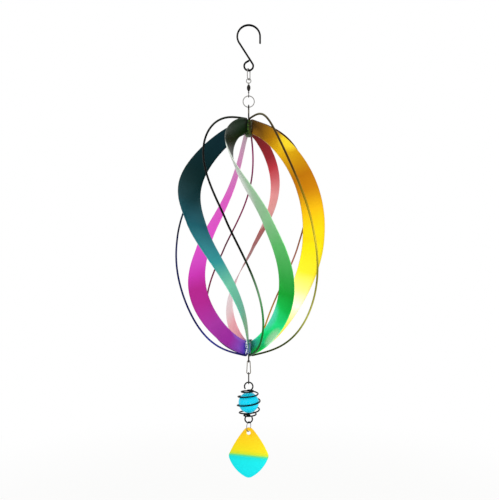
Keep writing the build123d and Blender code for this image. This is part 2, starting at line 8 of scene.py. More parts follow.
import bmesh
import bpy
import numpy as np
from bpy.props import FloatProperty, FloatVectorProperty, PointerProperty
from bpy.types import Operator, Panel, PropertyGroup
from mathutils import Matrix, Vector


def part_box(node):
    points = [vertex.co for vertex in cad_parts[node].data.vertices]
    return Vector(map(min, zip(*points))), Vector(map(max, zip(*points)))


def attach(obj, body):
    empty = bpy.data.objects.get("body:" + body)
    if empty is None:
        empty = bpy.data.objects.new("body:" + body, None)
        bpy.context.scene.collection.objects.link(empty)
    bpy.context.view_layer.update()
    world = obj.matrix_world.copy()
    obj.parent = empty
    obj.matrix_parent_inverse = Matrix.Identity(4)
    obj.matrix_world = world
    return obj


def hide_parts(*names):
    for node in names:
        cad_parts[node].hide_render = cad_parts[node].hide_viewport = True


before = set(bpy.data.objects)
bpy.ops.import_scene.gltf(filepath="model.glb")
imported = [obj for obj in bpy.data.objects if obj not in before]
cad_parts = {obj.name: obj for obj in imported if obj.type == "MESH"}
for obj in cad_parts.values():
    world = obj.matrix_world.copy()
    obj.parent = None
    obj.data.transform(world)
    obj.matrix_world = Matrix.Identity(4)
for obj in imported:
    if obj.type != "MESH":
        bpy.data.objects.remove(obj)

bl_info = {
    "name": "Wind spinner",
    "version": (1, 0, 0),
    "blender": (4, 5, 0),
    "location": "View3D > Sidebar > Wind spinner",
    "description": "Dresses a hanging wind spinner and its stage",
    "category": "Object",
}

MM = 0.001
UP = np.array([0.0, 0.0, 1.0])
ACROSS = np.array([1.0, 0.0, 0.0])
FRONT = np.array([0.0, -1.0, 0.0])

# --- Places from the frame --------------------------------------------------------------
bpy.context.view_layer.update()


def low(node):
    """Lowest corner of a node of the frame."""
    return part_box(node)[0]


def high(node):
    """Highest corner of a node of the frame."""
    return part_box(node)[1]


def middle_z(node):
    """Mid-height of a node of the frame."""
    return (low(node).z + high(node).z) / 2


HUB_RADIUS = (high("top_hub").x - low("top_hub").x) / 2
MIDDLE = (high("top_hub").z + low("bottom_hub").z) / 2
HUB_FACE_RISE = high("top_hub").z - MIDDLE

# Azimuth at mid-height, twist from there to either hub, and skew, which adds to the upper twist
# and takes from the lower one, in degrees.
BLADES = {
    "yellow": (-9.6, 18.5, 0.0),
    "green": (76.7, 38.5, 4.5),
    "teal": (131.2, 42.0, 2.0),
    "magenta": (221.6, 33.6, -0.5),
    "red": (273.3, 39.4, 3.0),
}
# Edge of every blade: reach from the axis at mid-height, exponent of its bow, rise to its end.
OUTER_EDGE = (96.8 * MM, 1.32, 143.5 * MM)
INNER_EDGE = (68.2 * MM, 1.40, 127.0 * MM)
# Azimuth of each bowed wire at mid-height, in degrees.
BOWS = {"gold": 38.3, "green": 104.8, "navy": 183.2, "plum": 246.1, "copper": 319.7}

# Paint of each blade from its upper end to its lower one, its own graded colours together with painted
# shade, painted reflections and painted highlights: share of the way, colour.
BLADE_PAINT_AND_SHADING = {
    "yellow": [(0.0, "3a2a10"), (0.06, "66420c"), (0.13, "aa7406"), (0.19, "dcaa10"), (0.3, "ae6a04"),
               (0.35, "b47204"), (0.41, "cc9c06"), (0.47, "d2b004"), (0.53, "ceb806"), (0.6, "d6c422"),
               (0.66, "e4dc7c"), (0.71, "f4f0d4"), (0.77, "f0e67c"), (0.84, "f4dc14"), (1.0, "e4c81c")],
    "green": [(0.0, "12120c"), (0.06, "0a260a"), (0.12, "042204"), (0.25, "021e06"), (0.28, "20342a"),
              (0.3, "dce6dc"), (0.35, "d2dccf"), (0.41, "acd4ac"), (0.5, "90d494"), (0.56, "5eca6a"),
              (0.65, "2eb044"), (0.7, "10ac34"), (0.74, "14cc54"), (0.8, "30ff9c"), (0.87, "14ff8c"),
              (0.94, "4cd8b8"), (1.0, "2c6a58")],
    "teal": [(0.0, "142010"), (0.14, "0e2c34"), (0.3, "062628"), (0.35, "052a2c"), (0.41, "0a383e"),
             (0.5, "085664"), (0.55, "107480"), (0.6, "12949a"), (0.66, "6cccb2"), (0.74, "58b4a0"),
             (0.8, "62a47c"), (0.87, "54947a"), (0.93, "5a8c9e"), (1.0, "465c84")],
    "magenta": [(0.0, "8a6478"), (0.07, "c0a0b0"), (0.16, "d68cbc"), (0.24, "da76c0"), (0.32, "e450c8"),
                (0.48, "e44acc"), (0.55, "d848c6"), (0.6, "cc34b4"), (0.66, "b0248a"), (0.71, "a62486"),
                (0.8, "a0349a"), (0.9, "982a98"), (0.96, "8048b4"), (1.0, "2c30a8")],
    "red": [(0.0, "48260e"), (0.06, "741c1c"), (0.18, "98202a"), (0.22, "c23440"), (0.26, "d46068"),
            (0.31, "ec9698"), (0.37, "e89c98"), (0.42, "a83c34"), (0.48, "981c1a"), (0.56, "862c2c"),
            (0.62, "d8acae"), (0.68, "fcecec"), (0.75, "fadede"), (0.8, "feb8be"), (0.9, "f8a8b4"),
            (1.0, "8478a0")],
}
# Soft painted highlights and painted reflections on the paint: place along, place from inner to outer
# edge, half length, half width, colour.
BLADE_HIGHLIGHTS = {
    "yellow": [(0.185, 1.0, 0.045, 0.7, "f2d22c"), (0.05, 0.0, 0.06, 0.6, "7a5212")],
    "green": [(0.85, 0.85, 0.055, 0.4, "c0ffc8"), (0.95, 1.0, 0.07, 0.6, "14e850"),
              (0.37, 0.0, 0.1, 0.8, "e2f0e0"), (0.8, 0.0, 0.08, 0.5, "58e4bc")],
    "red": [(0.4, 0.0, 0.04, 0.6, "d8aaa6")],
    "magenta": [(0.94, 0.0, 0.07, 0.3, "8854bc")],
}
# Paint of each bowed wire down its height, its own colours together with painted shade and painted
# highlights: share of the height from the upper end, colour.
BOW_PAINT_AND_SHADING = {
    "gold": [(0.0, "2c200c"), (0.03, "5c5624"), (0.09, "3c320c"), (0.3, "46300a"), (0.42, "94780c"),
             (0.55, "c0b02c"), (0.68, "7c7424"), (0.84, "b0aa4c"), (0.92, "465010"), (1.0, "0a1404")],
    "green": [(0.0, "1c2a10"), (0.03, "0a1202"), (0.08, "141a0c"), (0.15, "020402"), (0.6, "040804"),
              (0.68, "183018"), (0.76, "5c8a60"), (0.84, "1c7a30"), (0.9, "0c6a24"), (1.0, "083a20")],
    "navy": [(0.0, "081204"), (0.2, "08181c"), (0.38, "0e3044"), (0.46, "0c1228"), (0.56, "1e2460"),
             (0.66, "06124c"), (0.86, "0c1050"), (0.93, "282c84"), (1.0, "1c1850")],
    "plum": [(0.0, "30200c"), (0.08, "a01c70"), (0.16, "6a0e44"), (0.34, "820a52"), (0.46, "5a0832"),
             (0.66, "7c0242"), (0.8, "701c60"), (0.94, "6a1c70"), (1.0, "201a5c")],
    "copper": [(0.0, "3c2808"), (0.12, "50300e"), (0.32, "5c2c0c"), (0.46, "96603c"), (0.58, "b46e62"),
               (0.7, "843c34"), (0.82, "b88c24"), (0.94, "b48414"), (1.0, "0a1648")],
}
# Paint of the pendant from its upper end to its lower one: share of the height, colour.
PENDANT_PAINT = [
    (0.0, "e0b008"), (0.12, "e4b606"), (0.3, "e4c204"), (0.47, "dccc0a"), (0.535, "b8ce24"),
    (0.565, "50c878"), (0.6, "04ccc6"), (0.68, "00d4d6"), (1.0, "00d2da"),
]
# Each hub's enamel: colour towards -X, colour towards +X, colour of its painted glints, their share.
HUB_PAINT = {
    "top_hub": ("0c2410", "241808", "5c8a24", 0.45),
    "bottom_hub": ("10188c", "0a3826", "f4f8ff", 1.0),
}

# Soft boxes: name, place, height of the point on the axis that they face, side, power in watts.
SOFT_BOXES = [
    ("key_soft_box", (-0.9, -1.1, 0.45), MIDDLE, 1.5, 3.5),
    ("fill_soft_box", (0.7, -1.2, -0.6), MIDDLE, 1.5, 4.5),
    ("low_soft_box", (0.35, -0.75, -0.72), low("bottom_hub").z, 0.6, 2.5),
    ("top_soft_box", (0.1, 0.5, 0.9), MIDDLE, 1.5, 3.5),
]
FLOOR_HALF_WIDTH = 6.0
FLOOR_HEIGHT = -0.85
CAMERA_PLACE = (0.001, -0.4674, -0.3543)
CAMERA_LENS = 27.58
CAMERA_SHIFT = 0.1328


# --- Settings ---------------------------------------------------------------------------
def length(name, description, default):
    """A length setting in metres."""
    return FloatProperty(
        name=name, description=description, default=default, min=0.0, unit="LENGTH", precision=5
    )


def colour(name, description, default):
    """A colour setting, given as a hex value."""
    return FloatVectorProperty(
        name=name,
        description=description,
        default=linear(default),
        min=0.0,
        max=1.0,
        size=3,
        subtype="COLOR",
    )


def linear(code):
    """Scene-linear red, green and blue of a hex colour."""
    shares = [int(code[i : i + 2], 16) / 255 for i in (0, 2, 4)]
    return tuple(s / 12.92 if s <= 0.04045 else ((s + 0.055) / 1.055) ** 2.4 for s in shares)


class SpinnerSizes(PropertyGroup):
    """Sizes of the wire and sheet that a user may change."""

    hook_wire: length("Hook wire", "Diameter of the hook's wire", 2.2 * MM)
    link_wire: length("Connector wire", "Diameter of the connector link's wire", 1.1 * MM)
    swivel_wire: length("Swivel wire", "Diameter of the swivel eyes' wire", 1.0 * MM)
    ring_wire: length("Split ring wire", "Diameter of the split ring's wire", 1.1 * MM)
    eye_wire: length("Hub eye wire", "Diameter of the hub eyes' wire", 1.8 * MM)
    bow_wire: length("Bowed wire", "Diameter of the bowed wires and their paint", 2.2 * MM)
    blade_sheet: length("Blade sheet", "Thickness of the blades", 0.8 * MM)
    pear_wire: length("Pear link wire", "Diameter of the pear link's wire", 1.0 * MM)
    dark_wire: length("Dark link wire", "Diameter of the dark link's wire", 1.5 * MM)
    cage_wire: length("Cage wire", "Diameter of the marble cage's wire and its enamel", 1.7 * MM)
    jump_wire: length("Jump ring wire", "Diameter of the pendant's ring wire", 0.9 * MM)


class SpinnerColours(PropertyGroup):
    """Plain colours that a user may change; the graded paints are in tables."""

    black: colour("Black enamel", "Hook and marble cage", "040405")
    silver: colour("Silver plate", "Connector link, rings and swivel eye", "85837f")
    gunmetal: colour("Gunmetal", "Swivel barrel, hub eyes and dark link", "2e2b29")
    # Aged plate is the pear link's own colour, and also the colour of the painted glint on the top eye.
    aged: colour("Aged plate", "Pear link and the middle of the top eye", "625a48")
    glass: colour("Marble glass", "Caged marble", "00c0dc")
    floor: colour("Floor", "Studio floor", "f2f2f0")


# --- Surfaces ---------------------------------------------------------------------------
MERGE_DISTANCE = 1e-7
CAP_PLACE = 0.25  # place across the piece that its end caps take


def unit(vectors):
    """Each vector divided by its length."""
    return vectors / np.linalg.norm(vectors, axis=-1, keepdims=True)


def at(radius, azimuth, z):
    """Points (r cos a, -r sin a, z), with the azimuth a in degrees from +X towards the front."""
    a = np.radians(azimuth)
    return np.stack(np.broadcast_arrays(radius * np.cos(a), -radius * np.sin(a), z), axis=-1)


def arc(centre, radius, start, end, count, right=ACROSS, up=UP):
    """Points centre + r (cos a * right + sin a * up), the angle a in degrees from start to end."""
    a = np.radians(np.linspace(start, end, count))[:, None]
    return np.asarray(centre) + radius * (np.cos(a) * right + np.sin(a) * up)


def tube(path, radius, reference, sides=18, closed=False):
    """Circle carried along a path: point + r (cos a * across + sin a * other), where across is
    square to the path and to the reference direction."""
    path = np.asarray(path, float)
    if closed:
        before, after = np.roll(path, 1, axis=0), np.roll(path, -1, axis=0)
        along = unit(unit(path - before) + unit(after - path))
    else:
        steps = unit(np.diff(path, axis=0))
        along = unit(np.concatenate([steps[:1], steps[:-1] + steps[1:], steps[-1:]]))
    across = unit(np.cross(along, np.broadcast_to(reference, path.shape)))
    other = np.cross(along, across)
    a = 2 * pi * np.arange(sides) / sides
    radius = np.broadcast_to(np.asarray(radius, float), path.shape[:1])[:, None, None]
    circle = np.cos(a)[:, None] * across[:, None, :] + np.sin(a)[:, None] * other[:, None, :]
    return path[:, None, :] + radius * circle


def lathe(profile, sides=64):
    """Profile of (radius, height) points turned about the axis."""
    radius, z = np.asarray(profile, float).T
    a = 2 * pi * np.arange(sides) / sides
    x = radius[:, None] * np.cos(a)
    y = radius[:, None] * np.sin(a)
    return np.stack([x, y, np.broadcast_to(z[:, None], x.shape)], axis=-1)


def rounded_corner(radius, z, fillet, start, end, count=5):
    """Profile points (radius + f cos a, z + f sin a) of an arc of radius f, a in degrees."""
    a = np.radians(np.linspace(start, end, count))
    return list(zip(radius + fillet * np.cos(a), z + fillet * np.sin(a)))


def solid_volume(points, faces):
    """Signed volume of a closed shell of quads, from its faces' tetrahedra."""
    p = points - points.mean(axis=0)
    a, b, c, d = (p[faces[:, k]] for k in range(4))
    return float((np.cross(b, c) * a).sum() + (np.cross(c, d) * a).sum()) / 6


class Grid:
    """Points on a rows x columns grid, closed round its columns, and round its rows if told to.
    An open grid gets flat end caps. Its u runs over the two values of along."""

    def __init__(self, points, closed_rows=False, across=None, along=(0.0, 1.0)):
        self.points = np.asarray(points, float)
        self.closed_rows = closed_rows
        self.along = along
        rows, columns = self.points.shape[:2]
        self.across = np.arange(columns + 1) / columns if across is None else across
        i = np.arange(rows if closed_rows else rows - 1)[:, None]
        j = np.arange(columns)[None, :]
        self.corners = [(i, j), (i, j + 1), (i + 1, j + 1), (i + 1, j)]

    def faces(self):
        """Quads between neighbouring points."""
        rows, columns = self.points.shape[:2]
        quads = [i % rows * columns + j % columns for i, j in self.corners]
        return np.stack(np.broadcast_arrays(*quads), axis=-1).reshape(-1, 4)

    def uvs(self):
        """u is the place along the rows and v the place across the columns, for each corner."""
        rows = self.points.shape[0] if self.closed_rows else self.points.shape[0] - 1
        first, last = self.along
        u = [first + (last - first) * i / rows for i, j in self.corners]
        pairs = [np.broadcast_arrays(u[k], self.across[j]) for k, (i, j) in enumerate(self.corners)]
        return np.stack([np.stack(pair, axis=-1) for pair in pairs], axis=-2).reshape(-1, 4, 2)


def add_piece(name, grids, finish, body, node, sharp=40.0):
    """One mesh from several grids, its shells turned outwards, finished, put on its body and
    standing for a node of the frame. Edges over the sharp angle stay sharp."""
    points, faces, uvs, count = [], [], [], 0
    for grid in grids:
        flat = grid.points.reshape(-1, 3)
        quads, corner_uvs = grid.faces(), grid.uvs()
        rows, columns = grid.points.shape[:2]
        first_row = np.arange(columns)
        caps = [] if grid.closed_rows else [first_row[::-1], first_row + (rows - 1) * columns]
        if solid_volume(flat, quads) < 0:
            quads, corner_uvs = quads[:, ::-1], corner_uvs[:, ::-1]
            caps = [cap[::-1] for cap in caps]
        points.append(flat)
        faces += (quads + count).tolist() + [(cap + count).tolist() for cap in caps]
        uvs.append(corner_uvs.reshape(-1, 2))
        uvs += [np.full((columns, 2), (end, CAP_PLACE)) for cap, end in zip(caps, grid.along)]
        count += len(flat)
    mesh = bpy.data.meshes.new(name)
    mesh.from_pydata(np.concatenate(points).tolist(), [], faces)
    places = np.concatenate(uvs).astype(np.float32).ravel()
    mesh.uv_layers.new(name="UVMap").data.foreach_set("uv", places)
    work = bmesh.new()
    work.from_mesh(mesh)
    bmesh.ops.remove_doubles(work, verts=work.verts, dist=MERGE_DISTANCE)
    work.to_mesh(mesh)
    work.free()
    mesh.shade_smooth()
    mesh.set_sharp_from_angle(angle=radians(sharp))
    mesh.materials.append(finish)
    piece = bpy.data.objects.new(name, mesh)
    bpy.context.scene.collection.objects.link(piece)
    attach(piece, body)
    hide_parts(node)


# --- Finishes ---------------------------------------------------------------------------
class Level:
    """A socket of a finish. Arithmetic on it adds Math nodes."""

    def __init__(self, finish, socket):
        self.finish, self.socket = finish, socket

    def maths(self, operation, *values):
        """Adds a Math node that works on the values."""
        return self.finish.node("Math", {"operation": operation}, dict(enumerate(values)))

    def __add__(self, other):
        return self.maths("ADD", self, other)

    def __sub__(self, other):
        return self.maths("SUBTRACT", self, other)

    def __mul__(self, other):
        return self.maths("MULTIPLY", self, other)

    def __truediv__(self, other):
        return self.maths("DIVIDE", self, other)

    def __rsub__(self, other):
        return self.maths("SUBTRACT", other, self)

    def __abs__(self):
        return self.maths("ABSOLUTE", self)

    __radd__ = __add__
    __rmul__ = __mul__

    def beyond(self, limit, softness):
        """0 below the limit, rising to 1 over the softness."""
        return self.finish.node(
            "MapRange",
            {"interpolation_type": "SMOOTHSTEP"},
            {"Value": self, "From Min": limit, "From Max": limit + softness},
        )


class Finish:
    """A material being made, with one Principled surface."""

    def __init__(self, name):
        self.material = bpy.data.materials.new(name)
        self.material.use_nodes = True
        self.tree = self.material.node_tree
        self.tree.nodes.clear()

    def node(self, kind, settings=None, inputs=None, output=0):
        """Adds a node of a type with its settings, then its sockets' values or links."""
        node = self.tree.nodes.new("ShaderNode" + kind)
        for key, value in (settings or {}).items():
            if key == "stops":
                self.set_stops(node.color_ramp, value)
            else:
                setattr(node, key, value)
        for key, value in (inputs or {}).items():
            socket = node.inputs[key]
            if isinstance(value, Level):
                self.tree.links.new(value.socket, socket)
            elif socket.type == "RGBA":
                socket.default_value = (*value[:3], 1.0)
            else:
                socket.default_value = value
        return Level(self, node.outputs[output]) if node.outputs else None

    @staticmethod
    def set_stops(ramp, stops):
        """Gives a ramp its (place, colour) stops."""
        while len(ramp.elements) < len(stops):
            ramp.elements.new(1.0)
        for element, (place, shade) in zip(ramp.elements, stops):
            element.position = place
            element.color = (*shade, 1.0)

    def ramp(self, level, stops):
        """Colours by level, from (level, hex) stops."""
        linear_stops = [(place, linear(code)) for place, code in stops]
        return self.node("ValToRGB", {"stops": linear_stops}, {"Fac": level})

    def mix(self, level, first, second, blend="MIX"):
        """First colour to second by level."""
        return self.node(
            "Mix", {"data_type": "RGBA", "blend_type": blend}, {0: level, 6: first, 7: second}, 2
        )

    def coordinates(self, kind="Object"):
        """Object coordinates, or the piece's UV map."""
        return self.node("TexCoord", None, None, kind)

    def place(self, axis=2):
        """Object coordinate along one axis."""
        return self.node("SeparateXYZ", None, {0: self.coordinates()}, axis)

    def uv(self, axis):
        """UV place along (0) or across (1) the piece."""
        return self.node("SeparateXYZ", None, {0: self.coordinates("UV")}, axis)

    def noise(self, scale, detail=2.0, stretch=(1.0, 1.0, 1.0), kind="Object"):
        """Noise with grains of about 1 / scale, squeezed along each axis by the stretch."""
        spread = self.node("Mapping", None, {"Vector": self.coordinates(kind), "Scale": stretch})
        return self.node("TexNoise", None, {"Vector": spread, "Scale": scale, "Detail": detail})

    def bump(self, height, depth):
        """Normal from a height level of a depth in metres."""
        return self.node("Bump", None, {"Distance": depth, "Height": height})

    def surface(self, inputs):
        """Puts the Principled surface on the output and returns the material."""
        shader = self.node("BsdfPrincipled", None, inputs)
        self.node("OutputMaterial", None, {"Surface": shader})
        return self.material


def graded_paint_and_shading(name, stops, span=None, highlights=()):
    """Metallic gloss paint that changes colour from end to end of a blade, with soft painted highlights
    and with bare metal at the sheet's edges, or down the height of a wire that spans two heights. Its
    ramp holds painted shade, reflections and highlights along with the paint's own colours."""
    f = Finish(name)
    film = f.noise(26.0, 3.0)
    share = (span[0] - f.place()) / (span[0] - span[1]) if span else f.uv(0)
    # The ramp's colours are the paint's own grading together with painted shade, painted reflections
    # and painted highlights.
    paint_and_shading = f.ramp(share + (film - 0.5) * 0.03, stops)
    flakes = f.noise(5200.0, 1.0)
    lighter = f.mix(1.0, paint_and_shading, (1.25, 1.25, 1.22), "MULTIPLY")
    paint_and_shading = f.mix(flakes.beyond(0.42, 0.3) * 0.22, paint_and_shading, lighter)
    if not span:
        outward = 1.0 - abs(f.uv(1) * 2.0 - 1.0)
        # Soft painted highlights and painted reflections, lighter than the paint around them.
        for along, side, half_length, half_width, shade in highlights:
            lengthways = (share - along) / half_length
            sideways = (outward - side) / half_width
            apart = lengthways * lengthways + sideways * sideways
            paint_and_shading = f.mix(1.0 - apart.beyond(0.0, 1.0), paint_and_shading, linear(shade))
        edge = abs(outward - 0.5).beyond(0.462, 0.02)
        worn = edge * f.noise(240.0, 3.0).beyond(0.3, 0.35)
        paint_and_shading = f.mix(worn * 0.25, paint_and_shading, linear("d6d4cc"))
    orange_peel = f.noise(1500.0, 2.0)
    return f.surface(
        {
            "Base Color": paint_and_shading,
            "Metallic": 0.45,
            "Roughness": film * 0.16 + flakes * 0.1 + 0.2,
            "Specular IOR Level": 0.1,
            "Specular Tint": (0.6, 0.6, 0.6),
            "Normal": f.bump(orange_peel * 0.8 + flakes * 0.2, 0.03 * MM),
        }
    )


def drawn_metal(name, shade, roughness, tarnish, band=None):
    """Plated drawn wire: fine lines along the wire, a soft uneven tarnish, and a band of another shade
    between two heights, which on the top eye is a painted glint."""
    f = Finish(name)
    lines = f.noise(3.0, 3.0, (6.0, 60.0, 1.0), "UV")
    patches = f.noise(320.0, 3.0)
    tarnished = tuple(c * 0.35 for c in shade)
    body = f.mix(patches.beyond(0.4, 0.35) * tarnish, shade, tarnished)
    body = f.mix(lines * 0.25, body, f.mix(1.0, body, (1.3, 1.3, 1.3), "MULTIPLY"))
    # On the top eye this band is a painted glint.
    if band:
        bottom, top, other = band
        within = f.place().beyond(bottom, 1 * MM) - f.place().beyond(top, 1 * MM)
        body = f.mix(within, body, other)
    return f.surface(
        {
            "Base Color": body,
            "Metallic": 1.0,
            "Roughness": patches * 0.14 + lines * 0.06 + roughness,
            "Normal": f.bump(lines, 0.02 * MM),
        }
    )


def enamel(name, shade, roughness):
    """Baked enamel with orange peel and a trace of dust that dulls it in patches."""
    f = Finish(name)
    orange_peel = f.noise(1100.0, 2.0)
    dust = f.noise(210.0, 4.0)
    dusty = tuple(c + 0.004 for c in shade)
    return f.surface(
        {
            "Base Color": f.mix(dust.beyond(0.52, 0.3) * 0.35, shade, dusty),
            "Roughness": dust * 0.16 + roughness,
            "Specular IOR Level": 0.05,
            "Normal": f.bump(orange_peel, 0.04 * MM),
        }
    )


def hub_paint(name, left, right, glint, share):
    """Enamel that turns from one colour towards -X to another towards +X, with painted glints."""
    f = Finish(name)
    cloud = f.noise(380.0, 3.0)
    side = (f.place(0) + (cloud - 0.5) * 6 * MM).beyond(-1 * MM, 2 * MM)
    body = f.mix(side, linear(left), linear(right))
    # Painted glints, more of them towards -X.
    glints = f.noise(620.0, 2.0).beyond(0.5, 0.04) * (1.0 - side * 0.6) * share
    return f.surface(
        {
            "Base Color": f.mix(glints, body, linear(glint)),
            "Metallic": 0.3,
            "Roughness": cloud * 0.2 + 0.15,
            "Specular IOR Level": 0.15,
            "Normal": f.bump(cloud, 0.1 * MM),
        }
    )


def marble_glass(name, shade):
    """Tinted glass with a faint lighter swirl, and an emission of its tint that paints the light
    shining through it.
    """
    f = Finish(name)
    swirl = f.noise(95.0, 2.0, (1.0, 1.0, 2.2))
    lighter = tuple(min(1.0, c * 1.15 + 0.006) for c in shade)
    tint = f.mix(swirl.beyond(0.35, 0.4) * 0.5, shade, lighter)
    return f.surface(
        {
            "Base Color": tint,
            "Roughness": f.noise(400.0, 2.0) * 0.05 + 0.02,
            "IOR": 1.48,
            "Transmission Weight": 0.05,
            "Specular IOR Level": 0.15,
            # The emission paints the light shining through the glass.
            "Emission Color": tint,
            "Emission Strength": 0.16,
            "Normal": f.bump(f.noise(700.0, 1.0), 0.004 * MM),
        }
    )


def pendant_paint(name, top, bottom):
    """Gloss paint, orange yellow above a slanting line and cyan below it, thin at the rims."""
    f = Finish(name)
    slant = 0.10
    height = (top - f.place() - f.place(0) * slant) / (top - bottom)
    mottle = f.noise(60.0, 3.0)
    paint_and_shading = f.ramp(height + (mottle - 0.5) * 0.012, PENDANT_PAINT)
    rim = abs(f.uv(1) - 0.5).beyond(0.455, 0.03)
    orange_peel = f.noise(900.0, 2.0)
    return f.surface(
        {
            "Base Color": f.mix(rim * 0.4, paint_and_shading, linear("8c8c88")),
            "Metallic": 0.3,
            "Roughness": mottle * 0.1 + 0.2,
            "Specular IOR Level": 0.2,
            "Normal": f.bump(orange_peel, 0.03 * MM),
        }
    )


def finish_once(name, make, *values):
    """The finish of that name, made the first time that a piece asks for it."""
    return bpy.data.materials.get(name) or make(name, *values)


def black(context):
    """Enamel of the hook and the cage."""
    shade = tuple(context.scene.spinner_colours.black)
    return finish_once("black_enamel", enamel, shade, 0.26)


def silver(context):
    """Bright plate of the connector link, the rings and the swivel's upper eye."""
    shade = tuple(context.scene.spinner_colours.silver)
    return finish_once("silver_plate", drawn_metal, shade, 0.12, 0.5)


def gunmetal(context):
    """Dark metal of the barrel, the lower eyes and the dark link."""
    shade = tuple(context.scene.spinner_colours.gunmetal)
    return finish_once("gunmetal", drawn_metal, shade, 0.24, 0.4)


# --- Blades -----------------------------------------------------------------------------
def sheet_section(half_width, half_sheet, flats=9, bends=5):
    """Offsets (across, through) of a thin bar with round edges, and each point's place round it.
    The flats lie at places 0 to 0.5 and 0.5 to 1, and the round edges between them."""
    straight = np.linspace(-1, 1, flats)
    a = np.radians(np.linspace(-90, 90, bends + 2)[1:-1])
    reach = (half_width - half_sheet)[:, None]
    across = np.concatenate(
        [
            reach * straight,
            reach + half_sheet * np.cos(a),
            reach * straight[::-1],
            -reach - half_sheet * np.cos(a),
        ],
        axis=1,
    )
    through = half_sheet * np.concatenate([-np.ones(flats), np.sin(a), np.ones(flats), -np.sin(a)])
    flat_places = np.linspace(0.02, 0.48, flats)
    bend_places = np.linspace(0.48, 0.52, bends + 2)[1:-1]
    places = [flat_places, bend_places, flat_places + 0.5, bend_places + 0.5, [1.02]]
    return across, np.broadcast_to(through, across.shape), np.concatenate(places)


def blade_edges(azimuth, twist, skew, theta):
    """Outer and inner edge: r = reach * sin(theta) ** bow at z = rise * cos(theta), turned by
    azimuth + twist * s + skew * s * s, where s = sin(pi / 2 * eased) and eased is cos(theta) with
    its size taken to the power of ease."""
    ease = 1.1
    c = np.cos(theta)
    eased = np.sign(c) * np.abs(c) ** ease
    s = np.sin(pi / 2 * eased)
    turn = azimuth + twist * s + skew * s**2
    return [
        at(reach * np.sin(theta) ** bow, turn, MIDDLE + rise * c)
        for reach, bow, rise in (OUTER_EDGE, INNER_EDGE)
    ]


def blade_fin(setting, sheet, stations=181):
    """Thin bar from inner to outer edge, carried along the blade from hub to hub."""
    reach, bow = OUTER_EDGE[:2]
    sunk = 0.1 * MM
    start = ((HUB_RADIUS - sunk) / reach) ** (1 / bow)
    theta = np.linspace(start, pi - start, stations)
    outer, inner = blade_edges(*setting, theta)
    middle = (outer + inner) / 2
    across = unit(outer - inner)
    along = np.gradient(middle, axis=0)
    through = unit(np.cross(across, along))
    half_width = np.linalg.norm(outer - inner, axis=1) / 2
    u, v, places = sheet_section(half_width, sheet / 2)
    points = middle[:, None] + u[..., None] * across[:, None] + v[..., None] * through[:, None]
    return Grid(points, across=places)


def blade_tab(azimuth, side, sheet):
    """The blade's end bent round the hub: a thin bar at r = hub radius + offset, its width taken
    as an angle, carried up the hub and rounded off at both ends."""
    width, root, margin = 2.4 * MM, 128.2 * MM, 0.5 * MM
    straight, least = 0.93, 0.02
    inner = MIDDLE + side * root
    outer = MIDDLE + side * (HUB_FACE_RISE - margin)
    rows = np.linspace(-1, 1, 15)
    z = (inner + outer) / 2 + (outer - inner) / 2 * rows
    past_straight = np.clip((np.abs(rows) - straight) / (1 - straight), 0, 1)
    end_round = np.sqrt(np.clip(1 - past_straight**2, least, 1))[:, None]
    u, v, places = sheet_section(np.full(len(z), width / 2), sheet / 2)
    turn = azimuth + side * np.degrees((width / 2 + u * end_round) / HUB_RADIUS)
    radius = HUB_RADIUS + sheet / 2 + v * end_round
    end = 0.0 if side > 0 else 1.0
    return Grid(at(radius, turn, z[:, None]), across=places, along=(end, end))


class SPINNER_OT_blades(Operator):
    """Makes the five twisted blades with their bent tabs"""

    bl_idname = "spinner.blades"
    bl_label = "Blades"

    def execute(self, context):
        sheet = context.scene.spinner_sizes.blade_sheet
        for name, (azimuth, twist, skew) in BLADES.items():
            node = f"blade_{name}"
            # Painted highlights and painted reflections on this blade.
            highlights = BLADE_HIGHLIGHTS.get(name, ())
            # Paint whose ramp holds painted shade, painted reflections and painted highlights.
            paint_and_shading = graded_paint_and_shading(f"{name}_paint", BLADE_PAINT_AND_SHADING[name], highlights=highlights)
            grids = [
                blade_fin((azimuth, twist, skew), sheet),
                blade_tab(azimuth + twist + skew, 1, sheet),
                blade_tab(azimuth - twist + skew, -1, sheet),
            ]
            add_piece(f"twisted_{node}", grids, paint_and_shading, "spinner", node)
        return {"FINISHED"}


# --- Bowed wires ------------------------------------------------------------------------
def bow_path(azimuth):
    """Grip in the hub, bend outwards, bow r = reach * spread with spread = sin(theta) ** belly, at
    a height of (rise - lift) * cos(theta) ** shoulder + lift * ((1 - spread) / (1 - first)) ** 3,
    and back into the other hub; with it the sideways direction at each point."""
    reach, rise, lift = 88.25 * MM, 143.6 * MM, 7.0 * MM
    belly, shoulder, twist, crowding = 0.69, 0.94, 30.6, 0.09
    circle, bend, grip = 2.35 * MM, 2.3 * MM, 6.0 * MM
    first = (circle + bend) / reach
    start = first ** (1 / belly)
    even = np.linspace(0, 1, 241)
    theta = start + (pi - 2 * start) * (even - crowding * np.sin(2 * pi * even))
    c = np.cos(theta)
    turn = azimuth + twist * np.sin(pi / 2 * c)
    spread = np.sin(theta) ** belly
    height = (rise - lift) * np.abs(c) ** shoulder + lift * ((1 - spread) / (1 - first)) ** 3
    bow = at(reach * spread, turn, MIDDLE + np.sign(c) * height)
    ends = []
    for side in (1, -1):
        a = azimuth + side * twist
        outwards = at(1.0, a, 0.0)
        centre = at(circle + bend, a, MIDDLE + side * (rise - bend))
        curve = arc(centre, bend, 180, 90, 13, outwards, side * UP)[:-1]
        seat = at(circle, a, MIDDLE + side * (rise - bend - grip))
        ends.append((np.concatenate([[seat], curve]), np.full(len(curve) + 1, a)))
    (upper, upper_turn), (lower, lower_turn) = ends
    path = np.concatenate([upper, bow[1:-1], lower[::-1]])
    turns = np.concatenate([upper_turn, turn[1:-1], lower_turn[::-1]])
    return path, at(1.0, turns + 90, 0.0)


